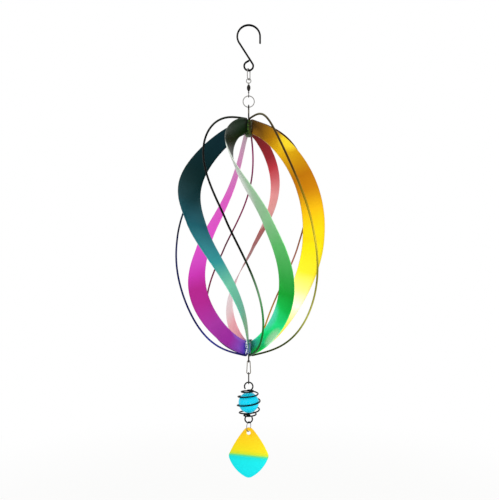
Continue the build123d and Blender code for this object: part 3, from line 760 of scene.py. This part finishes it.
class SPINNER_OT_bows(Operator):
    """Makes the five bowed wires"""

    bl_idname = "spinner.bows"
    bl_label = "Bowed wires"

    def execute(self, context):
        radius = context.scene.spinner_sizes.bow_wire / 2
        for name, azimuth in BOWS.items():
            node = f"wire_{name}"
            path, sideways = bow_path(azimuth)
            span = (high(node).z, low(node).z)
            # The wire's ramp holds painted shade and painted highlights along with its own colours.
            paint_and_shading = graded_paint_and_shading(f"{name}_wire_paint", BOW_PAINT_AND_SHADING[name], span)
            grid = Grid(tube(path, radius, sideways))
            add_piece(f"bowed_{node}", [grid], paint_and_shading, "spinner", node)
        return {"FINISHED"}


# --- Rings and link shapes --------------------------------------------------------------
def level_direction(yaw):
    """Level unit vector at a yaw in degrees from +X, turning away from the front."""
    return np.array([cos(radians(yaw)), sin(radians(yaw)), 0.0])


def closed_wire(path, wire, right):
    """Wire along a closed path in the upright plane of the direction right."""
    points = tube(path, wire / 2, np.cross(right, UP), closed=True)
    return Grid(points, closed_rows=True)


def ring_grid(radius, wire, z, yaw):
    """Round ring that stands upright on the axis."""
    right = level_direction(yaw)
    return closed_wire(arc((0, 0, z), radius, 0, 360, 73, right)[:-1], wire, right)


def link_grid(top, bottom, top_radius, bottom_radius, wire, yaw):
    """Upright link: two round ends on the axis, joined by their common tangents."""
    right = level_direction(yaw)
    top_centre = np.array([0, 0, top - top_radius])
    bottom_centre = np.array([0, 0, bottom + bottom_radius])
    lean = degrees(asin((bottom_radius - top_radius) / (top_centre[2] - bottom_centre[2])))
    upper = arc(top_centre, top_radius, lean, 180 - lean, 25, right)
    lower = arc(bottom_centre, bottom_radius, 180 - lean, 360 + lean, 25, right)
    return closed_wire(np.concatenate([upper, lower]), wire, right)


def shank(radius, top, bottom):
    """Upright round bar on the axis."""
    return Grid(lathe([(radius, z) for z in np.linspace(top, bottom, 9)], sides=24))


# --- Hubs and eyes ----------------------------------------------------------------------
def hub_grid(node):
    """Turned hub with rounded rims."""
    top, bottom, fillet = high(node).z, low(node).z, 0.5 * MM
    upper = rounded_corner(HUB_RADIUS - fillet, top - fillet, fillet, 90, 0)
    lower = rounded_corner(HUB_RADIUS - fillet, bottom + fillet, fillet, 0, -90)
    return Grid(lathe([(0, top), *upper, *lower, (0, bottom)]))


class SPINNER_OT_hubs(Operator):
    """Makes both hubs and the eyes that carry and hang from them"""

    bl_idname = "spinner.hubs"
    bl_label = "Hubs and eyes"

    def execute(self, context):
        wire = context.scene.spinner_sizes.eye_wire
        colours = context.scene.spinner_colours
        for node in ("top_hub", "bottom_hub"):
            paint_and_shading = hub_paint(f"{node}_enamel", *HUB_PAINT[node])
            add_piece(f"turned_{node}", [hub_grid(node)], paint_and_shading, "spinner", node)
        length_down, loop, grip = 12.4 * MM, 3.0 * MM, 5 * MM
        top, hub_top = high("top_eye").z - wire / 2, high("top_hub").z
        foot = top - length_down
        grids = [
            link_grid(top, foot, loop, loop, wire, 90),
            shank(wire / 2, foot, hub_top - grip),
        ]
        # Painted glint: a band in the aged plate colour round the top eye above the hub.
        painted_glint = (hub_top + 8 * MM, hub_top + 12 * MM, tuple(colours.aged))
        metal = drawn_metal("gunmetal_with_painted_glint", tuple(colours.gunmetal), 0.24, 0.4, painted_glint)
        add_piece("bent_top_eye", grids, metal, "spinner", "top_eye")
        loop = 2.6 * MM
        centre = low("bottom_eye").z + wire / 2 + loop
        grids = [
            ring_grid(loop, wire, centre, 90),
            shank(wire / 2, low("bottom_hub").z + grip, centre + loop),
        ]
        metal = gunmetal(context)
        add_piece("bent_bottom_eye", grids, metal, "spinner", "bottom_eye")
        return {"FINISHED"}


# --- Hook -------------------------------------------------------------------------------
def hook_path(wire):
    """Straight tip, open bend, straight shank, closed eye and its end bent back to the shank."""
    bend, eye, tip, between_centres = 13.9 * MM, 5.5 * MM, 8.9 * MM, 36.0 * MM
    closing_angle, closing_gap = 120.0, 0.15 * MM
    bend_z = -(bend - wire / 2)
    eye_z = bend_z - between_centres
    lean = degrees(asin((bend + eye) / between_centres))
    closing = radians(closing_angle - lean)
    run = (eye * (1 - cos(closing)) - wire / 2 - closing_gap) / sin(closing)
    direction = np.array([sin(radians(closing_angle)), 0, -cos(radians(closing_angle))])
    bend_arc = arc((0, 0, bend_z), bend, 0, 180 + lean, 61)
    eye_arc = arc((0, 0, eye_z), eye, lean, closing_angle - 360, 49)
    ends = [bend_arc[0] - tip * UP], [eye_arc[-1] + direction * run]
    return np.concatenate([ends[0], bend_arc, eye_arc, ends[1]])


def round_ends(path, radius, count=5):
    """Adds rings near both ends of a path so that the wire's tips are rounded: at a distance d
    from the tip the radius is r - f + sqrt(f * f - (f - d) ** 2)."""
    fillet = radius * 0.8
    distance = fillet * np.linspace(0, 1, count) ** 1.5
    narrow = radius - fillet + np.sqrt(fillet**2 - (fillet - distance) ** 2)
    first = path[0] + distance[:, None] * unit(path[1] - path[0])
    last = path[-1] + distance[:, None] * unit(path[-2] - path[-1])
    radii = np.concatenate([narrow, np.full(len(path) - 2, radius), narrow[::-1]])
    return np.concatenate([first, path[1:-1], last[::-1]]), radii


class SPINNER_OT_hook(Operator):
    """Makes the S hook"""

    bl_idname = "spinner.hook"
    bl_label = "Hook"

    def execute(self, context):
        wire = context.scene.spinner_sizes.hook_wire
        path, radii = round_ends(hook_path(wire), wire / 2)
        grid = Grid(tube(path, radii, FRONT, sides=24))
        add_piece("bent_s_hook", [grid], black(context), "hook", "s_hook")
        return {"FINISHED"}


# --- Links and rings --------------------------------------------------------------------
class SPINNER_OT_links(Operator):
    """Makes the connector link, pear link, dark link, split ring and jump ring"""

    bl_idname = "spinner.links"
    bl_label = "Links and rings"

    def execute(self, context):
        sizes = context.scene.spinner_sizes
        aged_shade = tuple(context.scene.spinner_colours.aged)
        plate, dark = silver(context), gunmetal(context)
        aged = drawn_metal("aged_plate", aged_shade, 0.2, 0.8)
        for node, wire, top_radius, bottom_radius, yaw, metal, body, slot in (
            ("connector_link", sizes.link_wire, 2.8, 2.8, 55, plate, "link", "silver_wire"),
            ("pear_link", sizes.pear_wire, 1.7, 2.3, 0, aged, "pear", "silver_wire"),
            ("dark_link", sizes.dark_wire, 1.55, 1.8, 90, dark, "lower_link", "dark_steel"),
        ):
            top, bottom = high(node).z - wire / 2, low(node).z + wire / 2
            link = link_grid(top, bottom, top_radius * MM, bottom_radius * MM, wire, yaw)
            add_piece(f"bent_{node}", [link], metal, body, node)
        for node, wire, yaw, body in (
            ("split_ring", sizes.ring_wire, 0, "ring"),
            ("jump_ring", sizes.jump_wire, 65, "pendant_ring"),
        ):
            radius = (high(node).z - low(node).z - wire) / 2
            ring = ring_grid(radius, wire, middle_z(node), yaw)
            add_piece(f"wound_{node}", [ring], plate, body, node)
        return {"FINISHED"}


# --- Swivel -----------------------------------------------------------------------------
def swivel_eye_grids(node, wire, side, yaw):
    """Round eye and its headed stem, which flares where it meets the eye."""
    radius, stem, head, head_height = 2.8 * MM, 0.65 * MM, 1.25 * MM, 0.8 * MM
    flare_width, flare_start, flare_length = 0.35 * MM, 0.3 * MM, 1.6 * MM
    tip = high(node).z if side > 0 else low(node).z
    centre = tip - side * (wire / 2 + radius)
    foot = centre - side * radius
    inner = low(node).z if side > 0 else high(node).z
    neck = inner + side * head_height
    share = np.linspace(0, 1, 9)
    flare = stem + flare_width * (1 - share) ** 2
    heights = foot + side * (flare_start - share * flare_length)
    profile = [*zip(flare, heights), (stem, neck), (head, neck), (head, inner)]
    return [ring_grid(radius, wire, centre, yaw), Grid(lathe(profile, sides=32))]


def barrel_grid():
    """Turned barrel: rounded ends, two cones and a band with two shallow grooves."""
    node = "swivel_barrel"
    middle, half = middle_z(node), (high(node).z - low(node).z) / 2
    wide = (high(node).x - low(node).x) / 2
    bore, end, fillet = 0.75 * MM, 1.35 * MM, 0.25 * MM
    band, groove = 1.2 * MM, wide - 0.12 * MM
    upper = [(bore, half)]
    upper += rounded_corner(end - fillet, half - fillet, fillet, 90, 20)
    upper += [(wide, band), (wide, 0.55 * MM)]
    upper += [(groove, 0.45 * MM), (groove, 0.35 * MM), (wide, 0.25 * MM)]
    lower = [(r, -z) for r, z in reversed(upper)]
    return Grid(lathe([(r, middle + z) for r, z in upper + lower], sides=48))


class SPINNER_OT_swivel(Operator):
    """Makes the barrel swivel"""

    bl_idname = "spinner.swivel"
    bl_label = "Barrel swivel"

    def execute(self, context):
        wire = context.scene.spinner_sizes.swivel_wire
        upper = swivel_eye_grids("swivel_top_eye", wire, 1, 0)
        lower = swivel_eye_grids("swivel_bottom_eye", wire, -1, 90)
        plate, dark = silver(context), gunmetal(context)
        for node, grids, metal, body, slot in (
            ("swivel_top_eye", upper, plate, "swivel_top", "silver_wire"),
            ("swivel_barrel", [barrel_grid()], dark, "barrel", "dark_steel"),
            ("swivel_bottom_eye", lower, dark, "swivel_bottom", "dark_steel"),
        ):
            add_piece(f"turned_{node}", grids, metal, body, node)
        return {"FINISHED"}


# --- Marble and cage --------------------------------------------------------------------
def cage_path(wire):
    """Top loop, spiral r = swell * sin(pi * share) ** fullness that swells round the marble, its
    turns gathered towards both ends, bottom loop; with it the outward direction at each point."""
    node = "marble_cage"
    top_loop, bottom_loop, loop_gap = 5.1 * MM, 4.5 * MM, 0.35 * MM
    marble, play = 12.5 * MM, 0.5 * MM
    turns, fullness, gather, crowding = 5.5, 0.7, 0.3, 0.05
    spiral_top = high(node).z - wire / 2 - 2 * top_loop
    spiral_bottom = low(node).z + wire / 2 + 2 * bottom_loop
    centre, half = (spiral_top + spiral_bottom) / 2, (spiral_top - spiral_bottom) / 2
    swell = marble + wire / 2 + play
    even = np.linspace(0, 1, 401)
    share = even - crowding * np.sin(2 * pi * even)
    gathered = share - gather * np.sin(2 * pi * share) / (2 * pi)
    radius = swell * np.clip(np.sin(pi * share), 0, 1) ** fullness
    spiral = at(radius, 180 + 360 * turns * share, centre + half * np.cos(pi * gathered))
    outwards = unit(spiral - np.array([0, 0, centre]))
    curves, directions = [], []
    for side, loop, spiral_end in ((1, top_loop, spiral_top), (-1, bottom_loop, spiral_bottom)):
        gap = degrees(acos(1 - (wire + loop_gap) / loop))
        middle = np.array([0, 0, spiral_end + side * loop])
        first, last = (gap, 360) if side > 0 else (0, 360 - gap)
        a = np.radians(np.linspace(first, last, 61))[:, None]
        curve = middle + loop * (-np.sin(a) * ACROSS - side * np.cos(a) * UP)
        curves.append(curve)
        directions.append(unit(middle - curve))
    path = np.concatenate([curves[0][:-1], spiral, curves[1][1:]])
    return path, np.concatenate([directions[0][:-1], outwards, directions[1][1:]])


class SPINNER_OT_marble(Operator):
    """Makes the marble and its wire cage"""

    bl_idname = "spinner.marble"
    bl_label = "Caged marble"

    def execute(self, context):
        wire = context.scene.spinner_sizes.cage_wire
        path, outwards = cage_path(wire)
        cage = Grid(tube(path, wire / 2, outwards, sides=16))
        enamelled = black(context)
        add_piece("wound_marble_cage", [cage], enamelled, "cage", "marble_cage")
        radius = (high("marble").z - low("marble").z) / 2
        half_circle = rounded_corner(0.0, middle_z("marble"), radius, 90, -90, count=65)
        ball = Grid(lathe(half_circle, sides=96))
        glass = marble_glass("cyan_glass", tuple(context.scene.spinner_colours.glass))
        add_piece("glass_marble", [ball], glass, "ball", "marble")
        return {"FINISHED"}


# --- Pendant ----------------------------------------------------------------------------
def touching_arc(first, first_radius, second, second_radius, radius):
    """Centre, start and end of the arc of a radius that holds two corner circles and touches
    them."""
    gap = second - first
    distance = np.hypot(*gap)
    a, b = radius - first_radius, radius - second_radius
    along = (a * a - b * b + distance**2) / (2 * distance)
    aside = sqrt(a * a - along * along)
    step = gap / distance
    centre = first + step * along + np.array([-step[1], step[0]]) * aside
    return centre, centre + unit(first - centre) * radius, centre + unit(second - centre) * radius


def arc_between(centre, radius, start, end, count):
    """Points from start towards end, the short way round a centre, without the end itself."""
    first, last = (np.arctan2(*(point - centre)[::-1]) for point in (start, end))
    turn = np.linspace(first, first + (last - first + pi) % (2 * pi) - pi, count, endpoint=False)
    return centre + radius * np.stack([np.cos(turn), np.sin(turn)], axis=1)


def pendant_outline(count=24):
    """Kite of four rounded corners and four bowed sides, from its top edge down."""
    half_width, upper, lower = 24.2 * MM, 34.6 * MM, 26.6 * MM
    top_radius, side_radius, bottom_radius = 7.0 * MM, 7.5 * MM, 8.0 * MM
    upper_bow, lower_bow = 128 * MM, 43 * MM
    corners = [
        (np.array([0.0, -top_radius]), top_radius),
        (np.array([-half_width + side_radius, -upper]), side_radius),
        (np.array([0.0, -upper - lower + bottom_radius]), bottom_radius),
        (np.array([half_width - side_radius, -upper]), side_radius),
    ]
    bows = [upper_bow, lower_bow, lower_bow, upper_bow]
    sides = [touching_arc(*corners[i], *corners[(i + 1) % 4], bows[i]) for i in range(4)]
    points = []
    for i, (centre, start, end) in enumerate(sides):
        corner, radius = corners[i]
        end_before = sides[i - 1][2]
        points.append(arc_between(corner, radius, end_before, start, count))
        points.append(arc_between(centre, bows[i], start, end, count))
    return np.concatenate(points)


def pendant_grid(node):
    """Plate carried round its outline: each section runs from the hole's rim, which is rounded by
    the fillet, over the front to the outer edge, rounded too, and back over the rear."""
    hole, drop, fillet = 2.45 * MM, 6.6 * MM, 0.3 * MM
    top, half = high(node).z, (high(node).y - low(node).y) / 2
    outline = pendant_outline()
    centre = np.array([0.0, -drop])
    inwards = unit(centre - outline)
    edge = unit(np.roll(outline, -1, axis=0) - np.roll(outline, 1, axis=0))
    normal = np.stack([edge[:, 1], -edge[:, 0]], axis=1)
    normal *= np.sign((normal * inwards).sum(axis=1))[:, None]
    rim = centre - inwards * hole
    a = np.radians(np.linspace(0, 90, 5))
    bends = list(zip(fillet * (1 - np.cos(a)), half - fillet * (1 - np.sin(a))))
    front = [(rim - inwards * inset, depth) for inset, depth in bends]
    front += [(rim + (outline - rim) * share, half) for share in np.linspace(0.12, 0.9, 10)]
    front += [(outline + normal * inset, depth) for inset, depth in reversed(bends)]
    sections = [(flat, -depth) for flat, depth in front]
    sections += [(flat, depth) for flat, depth in reversed(front)]
    points = [np.insert(flat, 1, y, axis=1) + top * UP for flat, y in sections]
    places = np.concatenate(
        [np.linspace(0.03, 0.05, 5), np.linspace(0.08, 0.44, 10), np.linspace(0.46, 0.49, 5)]
    )
    across = np.concatenate([places, 1.0 - places[::-1], [1.03]])
    return Grid(np.stack(points, axis=1), closed_rows=True, across=across)


class SPINNER_OT_pendant(Operator):
    """Makes the kite-shaped pendant"""

    bl_idname = "spinner.pendant"
    bl_label = "Pendant"

    def execute(self, context):
        node = "pendant"
        grids = [pendant_grid(node)]
        paint_and_shading = pendant_paint("pendant_gloss", high(node).z, low(node).z)
        add_piece("cut_pendant", grids, paint_and_shading, "pendant_plate", node, sharp=60)
        return {"FINISHED"}


# --- Stage ------------------------------------------------------------------------------
def soft_box(name, place, target_z, size, power):
    """Square area lamp that faces a height on the axis."""
    light = bpy.data.lights.new(name, "AREA")
    light.shape, light.size, light.energy = "SQUARE", size, power
    box = bpy.data.objects.new(name, light)
    box.location = place
    facing = Vector((0, 0, target_z)) - Vector(place)
    box.rotation_euler = facing.to_track_quat("-Z", "Y").to_euler()
    bpy.context.scene.collection.objects.link(box)


def seen_directly(tree):
    """1 for camera, glossy and transmission rays, else 0."""
    path = tree.nodes.new("ShaderNodeLightPath")
    total = None
    for ray in ("Is Camera Ray", "Is Glossy Ray", "Is Transmission Ray"):
        if total is None:
            total = path.outputs[ray]
            continue
        larger = tree.nodes.new("ShaderNodeMath")
        larger.operation = "MAXIMUM"
        tree.links.new(total, larger.inputs[0])
        tree.links.new(path.outputs[ray], larger.inputs[1])
        total = larger.outputs[0]
    return total


class SPINNER_OT_stage(Operator):
    """Makes the floor, the lights, the white surroundings and the camera"""

    bl_idname = "spinner.stage"
    bl_label = "Stage"

    def execute(self, context):
        self.add_floor(context)
        self.add_world(context)
        for settings in SOFT_BOXES:
            soft_box(*settings)
        self.add_camera(context)
        context.scene.view_settings.view_transform = "Standard"
        return {"FINISHED"}

    def add_floor(self, context):
        """Plain floor that pales to pure white with distance."""
        shade = tuple(context.scene.spinner_colours.floor)
        x = y = FLOOR_HALF_WIDTH
        mesh = bpy.data.meshes.new("studio_floor")
        corners = [(i * x, j * y, FLOOR_HEIGHT) for i, j in ((-1, -1), (1, -1), (1, 1), (-1, 1))]
        mesh.from_pydata(corners, [], [(0, 1, 2, 3)])
        floor = bpy.data.objects.new("studio_floor", mesh)
        context.scene.collection.objects.link(floor)
        f = Finish("floor_paint")
        clouded = f.mix(f.noise(3.0, 2.0) * 0.04, shade, (0.8, 0.8, 0.8))
        diffuse = f.node("BsdfDiffuse", None, {"Color": clouded})
        white = f.node("Emission", None, {"Color": (1.0, 1.0, 1.0), "Strength": 1.0})
        away = f.node("VectorMath", {"operation": "LENGTH"}, {0: f.coordinates()}, "Value")
        far = (away.beyond(0.9, 0.8) * 0.45 + 0.55) * Level(f, seen_directly(f.tree))
        shown = f.node("MixShader", None, {0: far, 1: diffuse, 2: white})
        f.node("OutputMaterial", None, {"Surface": shown})
        mesh.materials.append(f.material)

    def add_world(self, context):
        """White surroundings, a little dimmer as light than as they are seen."""
        world = bpy.data.worlds.new("studio")
        world.use_nodes = True
        context.scene.world = world
        tree = world.node_tree
        tree.nodes.clear()
        mix = tree.nodes.new("ShaderNodeMixShader")
        tree.links.new(seen_directly(tree), mix.inputs[0])
        for socket, strength in ((1, 0.9), (2, 1.0)):
            white = tree.nodes.new("ShaderNodeBackground")
            white.inputs["Color"].default_value = (1, 1, 1, 1)
            white.inputs["Strength"].default_value = strength
            tree.links.new(white.outputs[0], mix.inputs[socket])
        output = tree.nodes.new("ShaderNodeOutputWorld")
        tree.links.new(mix.outputs[0], output.inputs["Surface"])

    def add_camera(self, context):
        """Level camera below the spinner's middle, its view shifted upwards."""
        camera = bpy.data.cameras.new("camera")
        camera.lens = CAMERA_LENS
        camera.shift_y = CAMERA_SHIFT
        camera.clip_start = 0.01
        holder = bpy.data.objects.new("camera", camera)
        holder.location = CAMERA_PLACE
        holder.rotation_euler = (pi / 2, 0, 0)
        context.scene.collection.objects.link(holder)
        context.scene.camera = holder


STEPS = ("hook", "links", "swivel", "hubs", "blades", "bows", "marble", "pendant", "stage")


class SPINNER_PT_steps(Panel):
    """Lists the pieces and their settings"""

    bl_idname = "SPINNER_PT_steps"
    bl_label = "Wind spinner"
    bl_space_type = "VIEW_3D"
    bl_region_type = "UI"
    bl_category = "Wind spinner"

    def draw(self, context):
        for step in STEPS:
            self.layout.operator(f"spinner.{step}")
        for settings in (context.scene.spinner_sizes, context.scene.spinner_colours):
            box = self.layout.box()
            for name in settings.__annotations__:
                box.prop(settings, name)


CLASSES = (
    SpinnerSizes,
    SpinnerColours,
    SPINNER_OT_hook,
    SPINNER_OT_links,
    SPINNER_OT_swivel,
    SPINNER_OT_hubs,
    SPINNER_OT_blades,
    SPINNER_OT_bows,
    SPINNER_OT_marble,
    SPINNER_OT_pendant,
    SPINNER_OT_stage,
    SPINNER_PT_steps,
)


def register():
    """Makes the operators, the panel and the settings known to Blender."""
    for cls in CLASSES:
        bpy.utils.register_class(cls)
    bpy.types.Scene.spinner_sizes = PointerProperty(type=SpinnerSizes)
    bpy.types.Scene.spinner_colours = PointerProperty(type=SpinnerColours)


def unregister():
    """Takes them away again."""
    del bpy.types.Scene.spinner_colours
    del bpy.types.Scene.spinner_sizes
    for cls in reversed(CLASSES):
        bpy.utils.unregister_class(cls)


def main():
    register()
    for step in STEPS:
        getattr(bpy.ops.spinner, step)()


if __name__ == "__main__":
    main()
